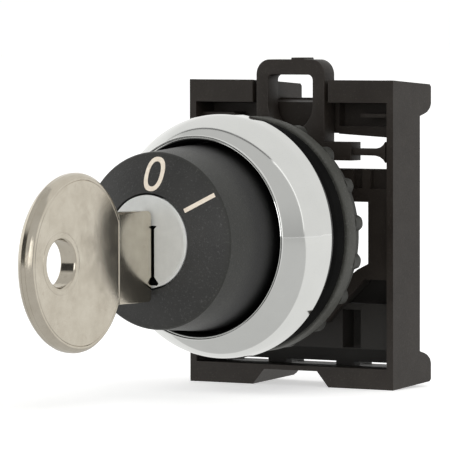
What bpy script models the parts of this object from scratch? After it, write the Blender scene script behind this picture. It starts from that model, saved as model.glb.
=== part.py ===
"""Selector key switch for a 22 mm panel hole, with its rear mounting adapter.

X runs to the viewer's right, Y runs back through the panel, Z is up.  The
origin is on the lock axis, in the plane where the bezel sits on the panel.
Every driving dimension below is in millimetres; MM turns them into metres.
"""
import math

import bmesh
import bpy
from mathutils import Matrix, Vector

MM = 0.001
SEG = 40                      # facets round the large turned pieces
GAP = 0.3                     # clearance between neighbouring pieces

# lock plug and its keyway
PLUG_R = 5.63
PLUG_FACE = -17.85
BORE_R = PLUG_R + GAP
SLOT_HALF = 1.2               # mouth of the keyway
SLOT_TOP, SLOT_BOTTOM = 1.87, -5.3
KEYWAY_HALF = 1.05            # keyway behind the mouth
KEYWAY_TOP, KEYWAY_BOTTOM, KEYWAY_END = 1.75, -4.65, 2.3
PLUG_NECK = (3.45, 4.4)       # groove for the retaining clip
TANG = (6.0, 3.2)             # width and thickness of the drive tang
TANG_END = 8.0

# wafers that the key lifts
WAFER_Y = (-12.0, -9.5, -7.0, -4.5, -2.0)
WAFER_T = 0.9
WAFER_R = 5.33
WAFER_DROP = 0.6
EAR_Z = -0.5

# key
BOW_C = (-32.9, -1.9)         # y, z of the bow's centre
BOW_R, BOW_FACE_R, BOW_T = 10.6, 10.1, 2.2
BOW_REACH = 10.4              # half length along the key, a little under BOW_R
KEY_HOLE = (-37.2, -1.77, 2.9)
SHANK_START, SHANK_END = -25.3, PLUG_FACE - GAP
SHANK_TOP, SHANK_BOTTOM, SHANK_T = 3.75, -7.2, 1.7
BLADE_TOP, BLADE_BOTTOM, BLADE_T, BLADE_TIP = 1.4, -4.3, 1.4, 1.8

# front end
COLLAR_EDGE_R, COLLAR_EDGE_Y = 10.72, -15.9
HOUSING_R, HOUSING_FRONT, HOUSING_REAR = 8.2, -15.9, 3.2
BEZEL_R, BEZEL_RIM_R, BEZEL_RIM_Y = 15.0, 12.01, -7.31

# threaded body behind the panel plane
FLANGE_R = 14.5
THREAD_R, THREAD_ROOT, THREAD_PITCH = 11.0, 10.45, 1.5
THREAD_END = 12.4
TAIL_R, TAIL_END = 8.0, 17.0
CHAMBER_R, TAIL_BORE_R, TAIL_WALL = 8.5, 6.9, 15.6

# gasket and ring nut
GASKET = (1.4, 4.0, 11.35, 14.45)
NUT = (4.3, 8.3, 11.35, 14.6)
NUT_BAND_END, NUT_BACK_R = 6.3, 13.9
NUT_LUGS, LUG_R, LUG_REACH = 18, 0.9, 14.75
LUG_FIRST = 6.7               # degrees above the X axis

# rotor and plungers
ROTOR_R = 7.9
RAMP_R = (3.9, 6.55)
RAMP_LOW, RAMP_RISE = 8.2, 3.6
THROW = 60.0                  # turn from 0 to I
PIN_X, PIN_R, PIN_HEAD_R = 5.2, 0.8, 1.4
PIN_TIP, PIN_END = 8.8, 17.6

# adapter and its release latch
FRAME_X, FRAME_TOP, FRAME_BOTTOM = 15.1, 19.02, -19.42
FRAME_FRONT, FRAME_REAR, WALL_REAR = 14.03, 23.2, 20.5
WALL_T = 0.95
BAR_LOW = 16.2
LATCH_X, LATCH_TOP, LATCH_REAR = 5.05, 21.56, 16.5
SHOULDER_X, SHOULDER = 8.92, (9.0, 11.3)


# ---------------------------------------------------------------- helpers
def clear_scene():
    for ob in list(bpy.data.objects):
        bpy.data.objects.remove(ob, do_unlink=True)


def material(name, colour, rough, metallic):
    mat = bpy.data.materials.new(name)
    mat.use_nodes = True
    bsdf = mat.node_tree.nodes["Principled BSDF"]
    bsdf.inputs["Base Color"].default_value = (*colour, 1.0)
    bsdf.inputs["Roughness"].default_value = rough
    bsdf.inputs["Metallic"].default_value = metallic
    mat.diffuse_color = (*colour, 1.0)
    return mat


def finish(bm, name, mat=None, smooth=True, angle=35.0):
    """Turn a bmesh in millimetres into an object in metres."""
    bmesh.ops.remove_doubles(bm, verts=bm.verts, dist=1e-5)
    bmesh.ops.dissolve_degenerate(bm, dist=1e-6, edges=bm.edges)
    bmesh.ops.recalc_face_normals(bm, faces=bm.faces)
    bmesh.ops.scale(bm, vec=(MM, MM, MM), verts=bm.verts)
    me = bpy.data.meshes.new(name)
    bm.to_mesh(me)
    bm.free()
    if smooth:
        me.shade_smooth()
        me.set_sharp_from_angle(angle=math.radians(angle))
    if mat:
        me.materials.append(mat)
    ob = bpy.data.objects.new(name, me)
    bpy.context.collection.objects.link(ob)
    return ob


def turned(profile, seg=SEG, centre=(0, 0, 0), axis="Y", angle=360.0):
    """Spin a closed outline of (radius, station) points about an axis."""
    bm = bmesh.new()
    verts = []
    for r, s in profile:
        if axis == "Y":
            co = (r, s, 0)
        elif axis == "X":
            co = (s, r, 0)
        else:
            co = (r, 0, s)
        verts.append(bm.verts.new(Vector(co) + Vector(centre)))
    edges = [bm.edges.new((verts[i], verts[(i + 1) % len(verts)])) for i in range(len(verts))]
    direction = {"Y": (0, 1, 0), "X": (1, 0, 0), "Z": (0, 0, 1)}[axis]
    if angle < 360.0:
        face = bm.faces.new(verts)
        ret = bmesh.ops.spin(bm, geom=[face], cent=centre, axis=direction,
                             angle=math.radians(angle), steps=seg, use_duplicate=False)
    else:
        bmesh.ops.spin(bm, geom=verts + edges, cent=centre, axis=direction,
                       angle=math.tau, steps=seg, use_merge=True, use_duplicate=False)
    return bm


def prism(points, plane, low, high):
    """Extrude a closed outline; plane names the outline's two axes."""
    bm = bmesh.new()
    order = {"XZ": (0, 2, 1), "YZ": (1, 2, 0), "XY": (0, 1, 2)}[plane]
    verts = []
    for a, b in points:
        co = [0.0, 0.0, 0.0]
        co[order[0]], co[order[1]], co[order[2]] = a, b, low
        verts.append(bm.verts.new(co))
    face = bm.faces.new(verts)
    out = bmesh.ops.extrude_face_region(bm, geom=[face])
    move = [0.0, 0.0, 0.0]
    move[order[2]] = high - low
    bmesh.ops.translate(bm, vec=move, verts=[v for v in out["geom"] if isinstance(v, bmesh.types.BMVert)])
    return bm


def box(x0, x1, y0, y1, z0, z1):
    return prism([(x0, y0), (x1, y0), (x1, y1), (x0, y1)], "XY", z0, z1)


def arc(cx, cy, r, start, stop, steps):
    return [(cx + r * math.cos(math.radians(start + (stop - start) * i / steps)),
             cy + r * math.sin(math.radians(start + (stop - start) * i / steps)))
            for i in range(steps + 1)]


def combine(ob, cutter_bm, operation, label):
    """Add a Boolean modifier whose tool shows only as a wire guide."""
    tool = finish(cutter_bm, "tool_" + label, smooth=False)
    tool.hide_render = True
    tool.display_type = "WIRE"
    mod = ob.modifiers.new(label, "BOOLEAN")
    mod.operation = operation
    mod.solver = "EXACT"
    mod.object = tool
    return tool


def cut(ob, bm, label):
    return combine(ob, bm, "DIFFERENCE", ob.name + "_" + label)


def join(ob, bm, label):
    return combine(ob, bm, "UNION", ob.name + "_" + label)


def spring_curve(name, start, end, centre, radius, wire, turns, axis, mat, per_turn=9):
    """A coil of round wire: a poly curve with a bevel and filled caps."""
    cu = bpy.data.curves.new(name, "CURVE")
    cu.dimensions = "3D"
    cu.bevel_depth = wire / 2 * MM
    cu.bevel_resolution = 0
    cu.use_fill_caps = True
    count = round(turns * per_turn)
    sp = cu.splines.new("POLY")
    sp.points.add(count)
    for i in range(count + 1):
        t = i / count
        a = math.tau * turns * t
        # the first and last half turns lie flatter, as on a closed-end spring
        s = start + (end - start) * (t - 0.06 * math.sin(math.tau * t))
        if axis == "Y":
            co = (centre[0] + radius * math.cos(a), s, centre[1] + radius * math.sin(a))
        else:
            co = (centre[0] + radius * math.cos(a), centre[1] + radius * math.sin(a), s)
        sp.points[i].co = (co[0] * MM, co[1] * MM, co[2] * MM, 1.0)
    cu.materials.append(mat)
    ob = bpy.data.objects.new(name, cu)
    bpy.context.collection.objects.link(ob)
    return ob


def pivot(name, location):
    ob = bpy.data.objects.new(name, None)
    ob.empty_display_size = 0.004
    ob.location = Vector(location) * MM
    bpy.context.collection.objects.link(ob)
    return ob


# ---------------------------------------------------------------- build
clear_scene()

NICKEL = material("key_nickel", (0.62, 0.58, 0.51), 0.32, 1.0)
SATIN = material("plug_satin", (0.66, 0.67, 0.67), 0.38, 1.0)
CHROME = material("bezel_chrome", (0.80, 0.81, 0.80), 0.08, 1.0)
COLLAR = material("collar_plastic", (0.045, 0.046, 0.046), 0.48, 0.0)
MARK = material("mark_cream", (0.78, 0.70, 0.60), 0.5, 0.0)
FRAME = material("adapter_plastic", (0.045, 0.038, 0.034), 0.5, 0.0)
NUTMAT = material("nut_plastic", (0.085, 0.09, 0.085), 0.55, 0.0)
BODY = material("body_plastic", (0.035, 0.035, 0.035), 0.5, 0.0)
RUBBER = material("seal_rubber", (0.012, 0.012, 0.012), 0.75, 0.0)
ZINC = material("zinc_casting", (0.50, 0.50, 0.49), 0.42, 1.0)
BRASS = material("wafer_brass", (0.70, 0.55, 0.28), 0.35, 1.0)
STEEL = material("spring_steel", (0.55, 0.55, 0.56), 0.3, 1.0)
ACETAL = material("plunger_acetal", (0.75, 0.74, 0.70), 0.45, 0.0)

# --- key: round bow with a coined rim, flat shank, notched blade ---------
half = BOW_T / 2
bow = turned([(0, -half), (BOW_FACE_R, -half), (BOW_R, 0.55 - half), (BOW_R, half - 0.55), (BOW_FACE_R, half), (0, half)],
             seg=44, centre=(0, BOW_C[0], BOW_C[1]), axis="X")
bmesh.ops.scale(bow, vec=(1, BOW_REACH / BOW_R, 1), space=Matrix.Translation((0, -BOW_C[0], -BOW_C[1])), verts=bow.verts)
key = finish(bow, "key", NICKEL)
cut(key, box(-3, 3, SHANK_START, -20, -16, 12), "bow_end")
shank = ([(SHANK_START - 4.0, SHANK_BOTTOM), (SHANK_END - 0.5, SHANK_BOTTOM), (SHANK_END, SHANK_BOTTOM + 0.5)]
         + [(SHANK_END, SHANK_TOP - 0.9), (SHANK_END - 0.25, SHANK_TOP - 0.25), (SHANK_END - 0.9, SHANK_TOP)]
         + [(SHANK_START - 4.0, SHANK_TOP)])
join(key, prism(shank, "YZ", -SHANK_T / 2, SHANK_T / 2), "shank")
blade = [(SHANK_END - 2.0, BLADE_BOTTOM)]
blade += [(BLADE_TIP - 1.6, BLADE_BOTTOM), (BLADE_TIP, BLADE_BOTTOM + 2.0), (BLADE_TIP, BLADE_TOP - 2.2),
          (BLADE_TIP - 1.6, BLADE_TOP - 0.5)]
for n, wy in enumerate(reversed(WAFER_Y)):
    depth = (0.35, 0.75, 0.5, 0.9, 0.6)[n]
    blade += [(wy + 1.0, BLADE_TOP - 0.02), (wy + 0.35, BLADE_TOP - depth), (wy - 0.35, BLADE_TOP - depth),
              (wy - 1.0, BLADE_TOP - 0.01)]
blade += [(SHANK_END - 2.0, BLADE_TOP)]
join(key, prism(blade, "YZ", -BLADE_T / 2, BLADE_T / 2), "blade")
cut(key, turned([(0, -3), (KEY_HOLE[2], -3), (KEY_HOLE[2], 3), (0, 3)], seg=32,
                centre=(0, KEY_HOLE[0], KEY_HOLE[1]), axis="X"), "ring_hole")
# a long warding groove on each side of the blade
cut(key, box(BLADE_T / 2 - 0.3, 2, -15.5, 4, -3.0, -1.9), "ward_right")
cut(key, box(-2, -BLADE_T / 2 + 0.3, -15.5, 4, -1.2, -0.2), "ward_left")

# --- lock plug: turned barrel, keyway, wafer slots, drive tang -----------
plug = finish(turned([(0, PLUG_FACE), (PLUG_R - 0.25, PLUG_FACE), (PLUG_R, PLUG_FACE + 0.25),
                      (PLUG_R, PLUG_NECK[0]), (4.4, PLUG_NECK[0]), (4.4, PLUG_NECK[1]),
                      (5.0, PLUG_NECK[1]), (5.0, 5.0), (0, 5.0)]), "lock_plug", SATIN)
join(plug, box(-TANG[0] / 2, TANG[0] / 2, 4.7, TANG_END, -TANG[1] / 2, TANG[1] / 2), "tang")
mouth = ([(-SLOT_HALF, SLOT_TOP - 0.4), (-SLOT_HALF, SLOT_BOTTOM + 0.6)]
         + arc(0, SLOT_BOTTOM + 0.6, SLOT_HALF, 180, 360, 6)[1:-1]
         + [(SLOT_HALF, SLOT_BOTTOM + 0.6), (SLOT_HALF, SLOT_TOP - 0.4), (SLOT_HALF - 0.4, SLOT_TOP),
            (-SLOT_HALF + 0.4, SLOT_TOP)])
mouth = [(x, max(z, SLOT_BOTTOM)) for x, z in mouth]
mouth = [p for i, p in enumerate(mouth) if p != mouth[i - 1]]
cut(plug, prism(mouth, "XZ", PLUG_FACE - 1, -15.6), "mouth")
cut(plug, box(-KEYWAY_HALF, KEYWAY_HALF, -15.9, KEYWAY_END, KEYWAY_BOTTOM, KEYWAY_TOP), "keyway")
for n, wy in enumerate(WAFER_Y):
    slot_half = WAFER_T / 2 + GAP
    cut(plug, prism([(-3.6, -7.0), (3.6, -7.0), (3.6, 2.9), (2.15, 2.9), (2.15, 7.0), (-3.6, 7.0)], "XZ",
                    wy - slot_half, wy + slot_half), "wafer_slot_%d" % (n + 1))

# --- wafers and their springs -------------------------------------------
def wafer_outline():
    pts = []
    left, right = -3.25, 3.25
    low = -math.sqrt(WAFER_R ** 2 - left ** 2)
    pts += [(left, -low), (left, low)]
    pts += [(x, -math.sqrt(WAFER_R ** 2 - x ** 2)) for x in (-2.2, -1.1, 0.0, 1.1, 2.2)]
    pts += [(right, low), (right, EAR_Z), (1.75, EAR_Z)]
    pts += [(1.75, math.sqrt(WAFER_R ** 2 - 1.75 ** 2)), (0.6, math.sqrt(WAFER_R ** 2 - 0.36)),
            (-0.9, math.sqrt(WAFER_R ** 2 - 0.81)), (-2.2, math.sqrt(WAFER_R ** 2 - 4.84))]
    return pts


for n, wy in enumerate(WAFER_Y):
    wafer = finish(prism(wafer_outline(), "XZ", wy - WAFER_T / 2, wy + WAFER_T / 2), "wafer_%d" % (n + 1), BRASS)
    cut(wafer, box(-1.05, 1.05, wy - 1, wy + 1, BLADE_BOTTOM - 0.3, BLADE_TOP + 0.3 + WAFER_DROP), "window")
    spring_curve("wafer_spring_%d" % (n + 1), EAR_Z + 0.45, 2.45, (2.72, wy), 0.32, 0.2, 3.0, "Z", STEEL, per_turn=7)

# --- lock housing: bored shell with an unlocked-wafer relief and a rib ---
housing = finish(turned([(BORE_R, HOUSING_FRONT), (HOUSING_R - 0.3, HOUSING_FRONT), (HOUSING_R, HOUSING_FRONT + 0.3),
                         (HOUSING_R, HOUSING_REAR), (BORE_R, HOUSING_REAR), (BORE_R, -0.7),
                         (6.75, -0.7), (6.75, -13.3), (BORE_R, -13.3)]), "lock_housing", ZINC)
join(housing, box(-1.0, 1.0, -15.0, -1.5, -8.9, -7.6), "rib")

# --- retaining clip in the plug's rear groove ---------------------------
clip_out = arc(0, 0, 6.7, -245, 65, 20)
clip_in = arc(0, 0, 4.75, 55, -235, 20)
clip = finish(prism(clip_out + clip_in, "XZ", 3.62, 4.12), "plug_clip", STEEL)

# --- front collar: coned face, flared side, captive flange ---------------
collar = finish(turned([(5.95, -17.78), (COLLAR_EDGE_R - 0.12, COLLAR_EDGE_Y - 0.1), (COLLAR_EDGE_R, COLLAR_EDGE_Y + 0.12),
                        (11.05, -11.0), (11.35, -7.3), (11.4, -2.6), (13.4, -2.6), (13.4, -0.3), (8.5, -0.3),
                        (8.5, -16.2), (5.95, -16.2)], seg=48), "front_collar", COLLAR)
cut(collar, box(-1.3, 1.3, -16.0, 1.0, -9.2, -7.0), "key_groove")

# --- the two position marks, laid on the coned face ----------------------
cone_angle = math.atan2(COLLAR_EDGE_Y - 0.1 + 17.78, COLLAR_EDGE_R - 0.12 - 5.95)


def place_mark(ob, radius, clockwise):
    """Stand a mark, drawn flat in XZ about its centre, on the cone."""
    lift = 0.16
    y = -17.78 + (radius - 5.95) * math.tan(cone_angle)
    tilt = Matrix.Rotation(-cone_angle, 4, "X")
    centre = Vector((0, y, radius)) + Vector((0, -math.cos(cone_angle), math.sin(cone_angle))) * lift
    turn = Matrix.Rotation(math.radians(clockwise), 4, "Y")
    local = Matrix.Translation(centre * MM) @ tilt
    ob.data.transform(turn @ local)


def oval(rx, rz, steps=28):
    return [(rx * math.cos(math.tau * i / steps), rz * math.sin(math.tau * i / steps)) for i in range(steps)]


zero_bm = bmesh.new()
outer = [zero_bm.verts.new((x, -0.06, z)) for x, z in oval(1.45, 2.15)]
inner = [zero_bm.verts.new((x, -0.06, z)) for x, z in oval(0.9, 1.6)]
rim = [zero_bm.edges.new((loop[i], loop[(i + 1) % len(loop)])) for loop in (outer, inner) for i in range(len(loop))]
ring = bmesh.ops.bridge_loops(zero_bm, edges=rim)
raised = bmesh.ops.extrude_face_region(zero_bm, geom=ring["faces"])
bmesh.ops.translate(zero_bm, vec=(0, 0.12, 0), verts=[v for v in raised["geom"] if isinstance(v, bmesh.types.BMVert)])
mark_zero = finish(zero_bm, "mark_zero", MARK)
place_mark(mark_zero, 8.25, 3.0)

mark_one = finish(box(-0.26, 0.26, -0.06, 0.06, -2.1, 2.1), "mark_one", MARK, smooth=False)
place_mark(mark_one, 8.4, 57.0)

# --- chrome bezel, domed outside and hollow behind -----------------------
bezel = finish(turned([(12.15, -7.16), (12.35, -7.31), (12.8, -6.75), (13.5, -5.6), (14.15, -4.5), (14.62, -3.6),
                       (14.92, -2.7), (BEZEL_R, -1.8), (14.95, -0.8), (14.85, 0.0), (13.85, 0.0), (13.85, -3.2),
                       (13.2, -4.9), (12.4, -6.2), (BEZEL_RIM_R, -6.7), (BEZEL_RIM_R, -7.05)], seg=48),
               "bezel_ring", CHROME)
seal = finish(turned([(11.72, -3.0), (11.72, -4.3), (12.3, -4.8), (12.9, -4.3), (13.4, -3.3), (13.4, -3.0)]),
              "collar_seal", RUBBER)

# --- threaded body: flange, thread, chamber, tail with a catch lug -------
body_profile = [(CHAMBER_R, 0.3), (FLANGE_R - 0.2, 0.3), (FLANGE_R, 0.5), (FLANGE_R, 0.9), (FLANGE_R - 0.2, 1.1),
                (THREAD_ROOT, 1.1), (THREAD_ROOT, 4.2)]
station = 4.2
while station + THREAD_PITCH <= THREAD_END - 0.1:
    body_profile += [(THREAD_R, station + 0.55), (THREAD_R, station + 0.80), (THREAD_ROOT, station + 1.35)]
    station += THREAD_PITCH
body_profile += [(THREAD_ROOT - 0.3, THREAD_END), (TAIL_R, THREAD_END), (TAIL_R, TAIL_END), (0.0, TAIL_END),
                 (0.0, TAIL_WALL), (TAIL_BORE_R, TAIL_WALL), (TAIL_BORE_R, THREAD_END - 0.1),
                 (CHAMBER_R, THREAD_END - 0.1)]
body = finish(turned(body_profile), "threaded_body", BODY)
join(body, box(-3.0, 3.0, 16.9, 18.0, 6.5, 9.9), "catch_top")
join(body, box(-3.0, 3.0, 16.9, 18.0, -9.9, -6.5), "catch_bottom")
join(body, box(-1.5, 1.5, 0.8, 3.9, 10.0, 12.0), "panel_nose")
for side, sx in (("right", 1), ("left", -1)):
    cut(body, turned([(0, 15.0), (1.1, 15.0), (1.1, 17.6), (0, 17.6)], seg=16, centre=(sx * PIN_X, 0, 0)), "pin_hole_" + side)
# the pocket that limits the rotor's turn, from just before 0 to just past I
stop = turned([(8.0, 5.9), (9.35, 5.9), (9.35, 8.6), (8.0, 8.6)], seg=14, angle=86.0)
bmesh.ops.rotate(stop, cent=(0, 0, 0), matrix=Matrix.Rotation(math.radians(-103.0), 3, "Y"), verts=stop.verts)
cut(body, stop, "turn_stop")

# --- panel gasket and ring nut -------------------------------------------
y0, y1, r0, r1 = GASKET
gasket = finish(turned([(r0, y0), (r1 - 0.15, y0), (r1, y0 + 0.2), (r1, y1 - 0.2), (r1 - 0.15, y1), (r0, y1)]),
                "panel_gasket", RUBBER)
cut(gasket, box(-1.8, 1.8, 0.0, 6.0, 10.0, 12.4), "nose_notch")

y0, y1, r0, r1 = NUT
outline, steps = [], NUT_LUGS
for n in range(steps):
    mid = LUG_FIRST + n * 360.0 / steps
    spread = math.degrees(LUG_R / NUT_BACK_R)
    outline.append((NUT_BACK_R * math.cos(math.radians(mid - spread)), NUT_BACK_R * math.sin(math.radians(mid - spread))))
    for f, rr in ((-0.62, 0.72), (0.0, 1.0), (0.62, 0.72)):
        rad = NUT_BACK_R + (LUG_REACH - NUT_BACK_R) * rr
        a = math.radians(mid + spread * f)
        outline.append((rad * math.cos(a), rad * math.sin(a)))
    outline.append((NUT_BACK_R * math.cos(math.radians(mid + spread)), NUT_BACK_R * math.sin(math.radians(mid + spread))))
nut = finish(prism(outline, "XZ", NUT_BAND_END - 0.4, y1), "ring_nut", NUTMAT)
join(nut, turned([(0, y0), (r1 - 0.25, y0), (r1, y0 + 0.25), (r1, NUT_BAND_END), (0, NUT_BAND_END)]), "rim")
cut(nut, turned([(0, y0 - 1), (r0, y0 - 1), (r0, y1 + 1), (0, y1 + 1)]), "bore")

# --- cam rotor: two helical ramps that lift the plungers -----------------
rotor = finish(turned([(0, 7.1), (0, RAMP_LOW), (ROTOR_R, RAMP_LOW), (ROTOR_R, 6.3), (4.6, 6.3), (4.6, 5.3), (0, 5.3)]),
               "cam_rotor", ACETAL)


def ramp(clockwise_start):
    """A wedge under one plunger: low at clockwise_start, rising anticlockwise."""
    bm = bmesh.new()
    steps = 16
    span, dwell = THROW, 14.0
    rows = []
    for i in range(steps + 1):
        t = i / steps
        a = clockwise_start - t * (span + dwell)
        h = RAMP_LOW + min(1.0, t * (span + dwell) / span) * RAMP_RISE
        ca, sa = math.sin(math.radians(a)), math.cos(math.radians(a))
        rows.append([bm.verts.new((r * ca, y, r * sa)) for r, y in
                     ((RAMP_R[0], RAMP_LOW - 0.8), (RAMP_R[1], RAMP_LOW - 0.8), (RAMP_R[1], h), (RAMP_R[0], h))])
    for i in range(steps):
        for k in range(4):
            bm.faces.new((rows[i][k], rows[i][(k + 1) % 4], rows[i + 1][(k + 1) % 4], rows[i + 1][k]))
    bm.faces.new(rows[0])
    bm.faces.new(rows[-1][::-1])
    return bm


join(rotor, ramp(90.0), "ramp_right")
join(rotor, ramp(270.0), "ramp_left")
cut(rotor, box(-TANG[0] / 2 - 0.3, TANG[0] / 2 + 0.3, 4.0, 13.0, -TANG[1] / 2 - 0.3, TANG[1] / 2 + 0.3), "socket")
tab = turned([(7.4, 6.55), (9.0, 6.55), (9.0, 7.95), (7.4, 7.95)], seg=3, angle=10.0)
bmesh.ops.rotate(tab, cent=(0, 0, 0), matrix=Matrix.Rotation(math.radians(-95.0), 3, "Y"), verts=tab.verts)
join(rotor, tab, "stop_tab")

# --- plungers, springs ----------------------------------------------------
for side, sx in (("right", 1), ("left", -1)):
    finish(turned([(0, PIN_TIP), (0.35, PIN_TIP + 0.08), (0.7, PIN_TIP + 0.45), (0.8, PIN_TIP + 0.9),
                   (PIN_HEAD_R, PIN_TIP + 1.3), (PIN_HEAD_R, PIN_TIP + 1.9), (PIN_R, PIN_TIP + 1.9),
                   (PIN_R, PIN_END - 0.2), (PIN_R - 0.2, PIN_END), (0, PIN_END)], seg=16, centre=(sx * PIN_X, 0, 0)),
           "plunger_" + side, ACETAL)
    spring_curve("plunger_spring_" + side, PIN_TIP + 2.2, TAIL_WALL - 0.35, (sx * PIN_X, 0), 1.23, 0.26, 5.5, "Y", STEEL,
                 per_turn=9)

# --- adapter frame --------------------------------------------------------
def side_profile():
    """Side wall seen along X: square front edge, hooked rear corners."""
    top = [(FRAME_FRONT, FRAME_TOP), (FRAME_REAR - 0.3, FRAME_TOP - 0.58), (FRAME_REAR, FRAME_TOP - 0.9),
           (FRAME_REAR, 16.0), (FRAME_REAR - 0.25, 15.5), (FRAME_REAR - 0.9, 15.0), (FRAME_REAR - 1.7, 14.75),
           (WALL_REAR, 14.5)]
    bottom = [(WALL_REAR, -14.9), (FRAME_REAR - 1.7, -15.15), (FRAME_REAR - 0.9, -15.45), (FRAME_REAR - 0.25, -15.95),
              (FRAME_REAR, -16.5), (FRAME_REAR, FRAME_BOTTOM + 0.9), (FRAME_REAR - 0.3, FRAME_BOTTOM + 0.6),
              (FRAME_FRONT, FRAME_BOTTOM)]
    return top + bottom


frame = finish(prism(side_profile(), "YZ", FRAME_X - WALL_T, FRAME_X), "adapter_frame", FRAME)
join(frame, prism(side_profile(), "YZ", -FRAME_X, -FRAME_X + WALL_T), "left_wall")
inner_x = FRAME_X - WALL_T + 0.3


def span(points, x0, x1, label):
    join(frame, prism(points, "YZ", x0, x1), label)


top_front = [(FRAME_FRONT + 0.01, BAR_LOW), (17.2, BAR_LOW), (17.2, 18.79), (FRAME_FRONT + 0.01, FRAME_TOP - 0.01)]
top_rear = [(16.85, BAR_LOW), (22.6, 15.4), (FRAME_REAR, 16.1), (FRAME_REAR, FRAME_TOP - 0.91),
            (FRAME_REAR - 0.31, FRAME_TOP - 0.6), (16.85, 18.8)]
for side, sx in (("right", 1), ("left", -1)):
    a, b = sorted((sx * 5.6, sx * inner_x))
    span(top_front, a, b, "top_front_" + side)
    a, b = sorted((sx * 4.05, sx * (inner_x + 0.02)))
    span(top_rear, a, b, "top_rear_" + side)
# rear web under the top bars: close behind the latch, deep beside it
span([(16.9, 12.35), (18.6, 12.35), (18.6, 16.6), (16.9, 16.18)], -5.5, 5.5, "latch_guide")
span([(18.2, 12.3), (19.8, 12.3), (19.8, 16.7), (18.2, 16.7)], -inner_x - 0.01, inner_x + 0.01, "top_web")
for side, sx in (("right", 1), ("left", -1)):
    a, b = sorted((sx * 5.45, sx * (inner_x + 0.03)))
    bar = [(a, 13.25), (b, 13.25), (b, 11.75 if sx > 0 else 12.25), (a, 12.25 if sx > 0 else 11.75)]
    join(frame, prism(bar, "XZ", 16.9, 18.5), "window_bar_" + side)
    a, b = sorted((sx * 9.4, sx * (inner_x + 0.04)))
    join(frame, box(a, b, 15.6, 18.6, 14.35, 14.85), "recess_rib_" + side)
# centre plate that stands round the body's tail
plate = [(-inner_x - 0.05, -5.8), (-10.2, -5.8), (-4.6, -11.4), (4.6, -11.4), (10.2, -5.8), (inner_x + 0.05, -5.8),
         (inner_x + 0.05, 7.95), (-inner_x - 0.05, 7.95)]
join(frame, prism(plate, "XZ", 15.2, 17.1), "centre_plate")
hole = [(8.35 * math.cos(math.tau * i / 40), 8.35 * math.sin(math.tau * i / 40)) for i in range(40)]
cut(frame, prism(hole, "XZ", 14.0, 18.2), "tail_hole")
cut(frame, box(-3.4, 3.4, 14.0, 18.0, -10.2, 10.3), "catch_way")
for side, sx in (("right", 1), ("left", -1)):
    # the window beside the tail, with its lower inner corner cut at an angle
    win = [(sx * 7.0, 3.85), (sx * 10.75, 3.85), (sx * 10.75, -3.85), (sx * 9.2, -4.6), (sx * 6.0, -7.0), (sx * 5.0, 0)]
    cut(frame, prism(win, "XZ", 14.0, 18.1), "side_window_" + side)
# lower web, its stiffening ribs and the bottom bar
web = [(-inner_x - 0.06, -17.6), (inner_x + 0.06, -17.6), (inner_x + 0.06, -4.7), (8.4, -4.7), (4.5, -10.3),
       (-4.5, -10.3), (-8.4, -4.7), (-inner_x - 0.06, -4.7)]
join(frame, prism(web, "XZ", 18.9, 20.3), "lower_web")
join(frame, box(-4.4, 4.4, 16.4, 19.4, -11.38, -10.5), "web_tie")
bottom_bar = [(FRAME_FRONT + 0.01, FRAME_BOTTOM + 0.01), (FRAME_REAR - 0.31, FRAME_BOTTOM + 0.61),
              (FRAME_REAR, FRAME_BOTTOM + 0.91), (FRAME_REAR, -16.6), (22.6, -16.2),
              (21.6, -16.9), (FRAME_FRONT + 0.01, -16.85)]
span(bottom_bar, -inner_x - 0.07, inner_x + 0.07, "bottom_bar")
for n, (a, b) in enumerate(((-12.8, -6.4), (-3.75, 3.75), (6.4, 12.8))):
    cut(frame, box(a, b, 18.0, 24.5, -16.95, -16.42), "slit_%d" % (n + 1))
# apron below the centre plate, with a pocket each side
join(frame, box(-inner_x - 0.04, inner_x + 0.04, 16.3, 17.3, -14.6, -8.9), "apron")
cut(frame, box(-3.5, 3.5, 15.8, 17.8, -10.21, -8.0), "apron_relief")
for side, sx in (("right", 1), ("left", -1)):
    a, b = sorted((sx * 6.35, sx * 9.0))
    cut(frame, box(a, b, 15.9, 18.0, -14.5, -9.7), "pocket_" + side)
    a, b = sorted((sx * 5.6, sx * 6.35))
    join(frame, box(a, b, 16.31, 19.2, -14.58, -9.3), "pocket_rib_" + side)
    # shallow step along the top of the centre plate, with a tab left standing
    for k, (low, high) in enumerate(((8.6, 9.9), (11.1, 13.7))):
        a, b = sorted((sx * low, sx * high))
        cut(frame, box(a, b, 14.0, 16.0, 5.5, 9.0), "step_%s_%d" % (side, k))
notch = [(-5.75, -21.0), (-5.62, FRAME_BOTTOM), (-3.93, -17.45), (3.93, -17.45), (5.62, FRAME_BOTTOM), (5.75, -21.0)]
cut(frame, prism(notch, "XZ", 13.0, 25.0), "bottom_notch")

# --- release latch: finger loop on a shouldered slide --------------------
lx, top = LATCH_X, LATCH_TOP
latch_outline = ([(-4.7, 8.6), (4.7, 8.6), (4.7, SHOULDER[0]), (SHOULDER_X, SHOULDER[0]), (SHOULDER_X, SHOULDER[1]), (lx, SHOULDER[1])]
                 + arc(lx - 1.9, top - 1.9, 1.9, 0, 90, 6)
                 + [(2.0, top), (1.9, top + 0.24), (0.2, top + 0.24), (0.1, top)]
                 + arc(-lx + 1.9, top - 1.9, 1.9, 90, 180, 6)
                 + [(-lx, SHOULDER[1]), (-SHOULDER_X, SHOULDER[1]), (-SHOULDER_X, SHOULDER[0]), (-4.7, SHOULDER[0])])
latch = finish(prism(latch_outline, "XZ", FRAME_FRONT, LATCH_REAR), "release_latch", FRAME)
window = (arc(2.6, 19.65 - 0.7, 0.7, 0, 90, 3) + arc(-2.6, 19.65 - 0.7, 0.7, 90, 180, 3)
          + arc(0, 15.9, 3.3, 180, 360, 16))
cut(latch, prism(window, "XZ", 13.0, 18.0), "loop")

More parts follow.
